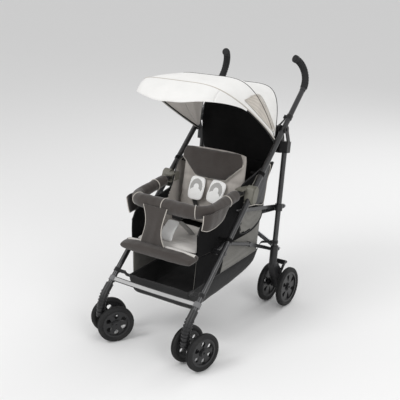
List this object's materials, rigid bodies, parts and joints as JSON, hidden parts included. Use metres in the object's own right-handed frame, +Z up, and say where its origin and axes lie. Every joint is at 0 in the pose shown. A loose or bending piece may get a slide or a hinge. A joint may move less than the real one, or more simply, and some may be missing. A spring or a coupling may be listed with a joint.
{
  "type": "umbrella stroller",
  "caption": "Folding umbrella stroller with hooked handles, twin swivel front wheels, canopy with sun visor, padded seat, bumper bar and mesh basket.",
  "frame": {"origin": "on the ground, in the middle plane, halfway between the front swivel axes and the rear axle", "axes": "+Z up, +Y towards the back and the handles, +X towards the stroller's left-hand side as a child in it sees it, which is the near side in the picture"},
  "size_m": [0.5565, 0.9343, 1.0569],
  "materials": {
    "frame_silver": "dark gunmetal tube",
    "frame_black": "black powder coat",
    "link_steel": "zinc plated bar",
    "black_plastic": "moulded, fine grain",
    "grey_plastic": "moulded, olive grey",
    "grip_foam": "ribbed soft foam",
    "tyre_black": "matte rubber tread",
    "rim_black": "moulded, satin",
    "cloth_white": "plain woven polyester",
    "cloth_black": "woven polyester",
    "cloth_dark": "dark brown grey woven polyester, piped",
    "cloth_taupe": "taupe grey woven polyester",
    "cloth_light": "light grey woven polyester",
    "mesh_black": "open mesh",
    "webbing": "ribbed webbing"
  },
  "bodies": {
    "right_frame": {"front_leg_right": "frame_silver", "grip_right": "grip_foam", "elbow_right": "grey_plastic", "caster_neck_right": "black_plastic", "seat_pad": "cloth_light", "seat_shell": "cloth_black", "crotch_flap": "cloth_dark", "crotch_strap": "cloth_white", "buckle": "black_plastic", "hood_bag": "cloth_black", "basket": "mesh_black", "foot_strap": "webbing"},
    "left_frame": {"front_leg_left": "frame_silver", "grip_left": "grip_foam", "elbow_left": "grey_plastic", "caster_neck_left": "black_plastic"},
    "right_rear": {"rear_leg_right": "frame_black", "rear_housing_right": "black_plastic", "top_joint_right": "black_plastic"},
    "left_rear": {"rear_leg_left": "frame_black", "rear_housing_left": "black_plastic", "top_joint_left": "black_plastic"},
    "brace_a": {"brace_a": "link_steel"},
    "brace_b": {"brace_b": "link_steel"},
    "collar_right": {"collar_right": "black_plastic"},
    "collar_left": {"collar_left": "black_plastic"},
    "strut_right": {"strut_right": "frame_black"},
    "strut_left": {"strut_left": "frame_black"},
    "rail_right": {"rail_right": "frame_silver"},
    "rail_left": {"rail_left": "frame_silver"},
    "link_right": {"link_right": "frame_black"},
    "link_left": {"link_left": "frame_black"},
    "caster_right": {"caster_fork_right": "black_plastic"},
    "caster_left": {"caster_fork_left": "black_plastic"},
    "brake_right": {"brake_right": "black_plastic"},
    "brake_left": {"brake_left": "black_plastic"},
    "backrest": {"backrest": "cloth_taupe", "head_pad": "cloth_dark", "harness": "cloth_white"},
    "leg_rest": {"leg_rest": "cloth_dark"},
    "canopy": {"canopy": "cloth_white", "canopy_bow": "black_plastic"},
    "visor": {"visor": "cloth_white"},
    "bumper": {"bumper_bar": "cloth_dark"},
    "wheel_fr_out": {"tyre_fr_out": "tyre_black", "rim_fr_out": "rim_black"},
    "wheel_fr_in": {"tyre_fr_in": "tyre_black", "rim_fr_in": "rim_black"},
    "wheel_fl_out": {"tyre_fl_out": "tyre_black", "rim_fl_out": "rim_black"},
    "wheel_fl_in": {"tyre_fl_in": "tyre_black", "rim_fl_in": "rim_black"},
    "wheel_rr_out": {"tyre_rr_out": "tyre_black", "rim_rr_out": "rim_black"},
    "wheel_rr_in": {"tyre_rr_in": "tyre_black", "rim_rr_in": "rim_black"},
    "wheel_rl_out": {"tyre_rl_out": "tyre_black", "rim_rl_out": "rim_black"},
    "wheel_rl_in": {"tyre_rl_in": "tyre_black", "rim_rl_in": "rim_black"}
  },
  "joints": [
    {"name": "fold", "type": "hinge", "parent": "right_frame", "child": "right_rear", "pos_m": [0.206, 0.34232, 0.77655], "axis": [-1, 0, 0], "range_deg": [0, 38], "deforming": ["seat_pad", "seat_shell", "leg_rest", "backrest", "head_pad", "harness", "crotch_flap", "crotch_strap", "buckle", "bumper_bar", "canopy", "canopy_bow", "visor", "hood_bag", "basket", "foot_strap"]},
    {"name": "fold_brace_a", "type": "hinge", "parent": "right_rear", "child": "brace_a", "pos_m": [0.206, 0.29966, 0.26047], "axis": [0, 0.9903, -0.1392], "range_deg": [0, 38.5]},
    {"name": "fold_brace_b", "type": "hinge", "parent": "brace_a", "child": "brace_b", "pos_m": [0, 0.3126, 0.35256], "axis": [0, -0.9903, 0.1392], "range_deg": [0, 76.5]},
    {"name": "fold_left_rear", "type": "hinge", "parent": "brace_b", "child": "left_rear", "pos_m": [-0.206, 0.29966, 0.26047], "axis": [0, 0.9903, -0.1392], "range_deg": [0, 38.5]},
    {"name": "fold_left_frame", "type": "hinge", "parent": "left_rear", "child": "left_frame", "pos_m": [-0.206, 0.34232, 0.77655], "axis": [1, 0, 0], "range_deg": [0, 38.5]},
    {"name": "fold_collar_right", "type": "hinge", "parent": "brace_b", "child": "collar_right", "pos_m": [0.206, 0.32554, 0.44466], "axis": [0, 0.9903, -0.1392], "range_deg": [0, 38.5]},
    {"name": "fold_collar_left", "type": "hinge", "parent": "brace_a", "child": "collar_left", "pos_m": [-0.206, 0.32554, 0.44466], "axis": [0, -0.9903, 0.1392], "range_deg": [0, 38.5]},
    {"name": "fold_strut_right", "type": "hinge", "parent": "collar_right", "child": "strut_right", "pos_m": [0.206, 0.32554, 0.44466], "axis": [1, 0, 0], "range_deg": [0, 86]},
    {"name": "fold_rail_right", "type": "hinge", "parent": "right_frame", "child": "rail_right", "pos_m": [0.206, -0.099, 0.38196], "axis": [1, 0, 0], "range_deg": [0, 38.4]},
    {"name": "fold_link_right", "type": "hinge", "parent": "right_rear", "child": "link_right", "pos_m": [0.206, 0.29966, 0.26047], "axis": [-1, 0, 0], "range_deg": [0, 83.2]},
    {"name": "fold_strut_left", "type": "hinge", "parent": "collar_left", "child": "strut_left", "pos_m": [-0.206, 0.32554, 0.44466], "axis": [1, 0, 0], "range_deg": [0, 86]},
    {"name": "fold_rail_left", "type": "hinge", "parent": "left_frame", "child": "rail_left", "pos_m": [-0.206, -0.099, 0.38196], "axis": [1, 0, 0], "range_deg": [0, 38.4]},
    {"name": "fold_link_left", "type": "hinge", "parent": "left_rear", "child": "link_left", "pos_m": [-0.206, 0.29966, 0.26047], "axis": [-1, 0, 0], "range_deg": [0, 83.2]},
    {"name": "swivel_right", "type": "hinge", "parent": "right_frame", "child": "caster_right", "pos_m": [0.206, -0.342, 0.105], "axis": [0, 0, 1], "continuous": true},
    {"name": "spin_fr_out", "type": "hinge", "parent": "caster_right", "child": "wheel_fr_out", "pos_m": [0.26063, -0.31005, 0.074], "axis": [0.9659, -0.2588, 0], "continuous": true},
    {"name": "spin_fr_in", "type": "hinge", "parent": "caster_right", "child": "wheel_fr_in", "pos_m": [0.17466, -0.28702, 0.074], "axis": [0.9659, -0.2588, 0], "continuous": true},
    {"name": "swivel_left", "type": "hinge", "parent": "left_frame", "child": "caster_left", "pos_m": [-0.206, -0.342, 0.105], "axis": [0, 0, 1], "continuous": true},
    {"name": "spin_fl_out", "type": "hinge", "parent": "caster_left", "child": "wheel_fl_out", "pos_m": [-0.22097, -0.28051, 0.074], "axis": [0.8572, -0.515, 0], "continuous": true},
    {"name": "spin_fl_in", "type": "hinge", "parent": "caster_left", "child": "wheel_fl_in", "pos_m": [-0.14468, -0.32635, 0.074], "axis": [0.8572, -0.515, 0], "continuous": true},
    {"name": "spin_rr_out", "type": "hinge", "parent": "right_rear", "child": "wheel_rr_out", "pos_m": [0.2515, 0.342, 0.085], "axis": [1, 0, 0], "continuous": true},
    {"name": "spin_rr_in", "type": "hinge", "parent": "right_rear", "child": "wheel_rr_in", "pos_m": [0.1605, 0.342, 0.085], "axis": [1, 0, 0], "continuous": true},
    {"name": "brake_right", "type": "hinge", "parent": "right_rear", "child": "brake_right", "pos_m": [0.206, 0.328, 0.153], "axis": [-1, 0, 0], "range_deg": [0, 22]},
    {"name": "spin_rl_out", "type": "hinge", "parent": "left_rear", "child": "wheel_rl_out", "pos_m": [-0.2515, 0.342, 0.085], "axis": [1, 0, 0], "continuous": true},
    {"name": "spin_rl_in", "type": "hinge", "parent": "left_rear", "child": "wheel_rl_in", "pos_m": [-0.1605, 0.342, 0.085], "axis": [1, 0, 0], "continuous": true},
    {"name": "brake_left", "type": "hinge", "parent": "left_rear", "child": "brake_left", "pos_m": [-0.206, 0.328, 0.153], "axis": [-1, 0, 0], "range_deg": [0, 22]},
    {"name": "recline", "type": "hinge", "parent": "right_frame", "child": "backrest", "pos_m": [0, 0.078, 0.39], "axis": [-1, 0, 0], "range_deg": [0, 22]},
    {"name": "leg_rest_drop", "type": "hinge", "parent": "right_frame", "child": "leg_rest", "pos_m": [0, -0.199, 0.389], "axis": [1, 0, 0], "range_deg": [0, 75]},
    {"name": "canopy_fold", "type": "hinge", "parent": "right_frame", "child": "canopy", "pos_m": [0, 0.306, 0.734], "axis": [-1, 0, 0], "range_deg": [0, 55]},
    {"name": "visor_flip", "type": "hinge", "parent": "canopy", "child": "visor", "pos_m": [0, -0.10704, 1.02107], "axis": [-1, 0, 0], "range_deg": [0, 100]},
    {"name": "bumper_swing", "type": "hinge", "parent": "right_frame", "child": "bumper", "pos_m": [0.175, 0.074, 0.572], "axis": [0, 0, 1], "range_deg": [0, 35]}
  ],
  "couplings": [
    {"joint": "fold_brace_a", "follows": "fold", "ratio": 1},
    {"joint": "fold_brace_b", "follows": "fold", "ratio": 2},
    {"joint": "fold_left_rear", "follows": "fold", "ratio": 1},
    {"joint": "fold_left_frame", "follows": "fold", "ratio": 1},
    {"joint": "fold_collar_right", "follows": "fold", "ratio": 1},
    {"joint": "fold_collar_left", "follows": "fold", "ratio": 1},
    {"joint": "fold_strut_right", "follows": "fold", "ratio": 2.2497},
    {"joint": "fold_rail_right", "follows": "fold", "ratio": 0.9966},
    {"joint": "fold_link_right", "follows": "fold", "ratio": 2.1776},
    {"joint": "fold_strut_left", "follows": "fold", "ratio": 2.2497},
    {"joint": "fold_rail_left", "follows": "fold", "ratio": 0.9966},
    {"joint": "fold_link_left", "follows": "fold", "ratio": 2.1776}
  ]
}
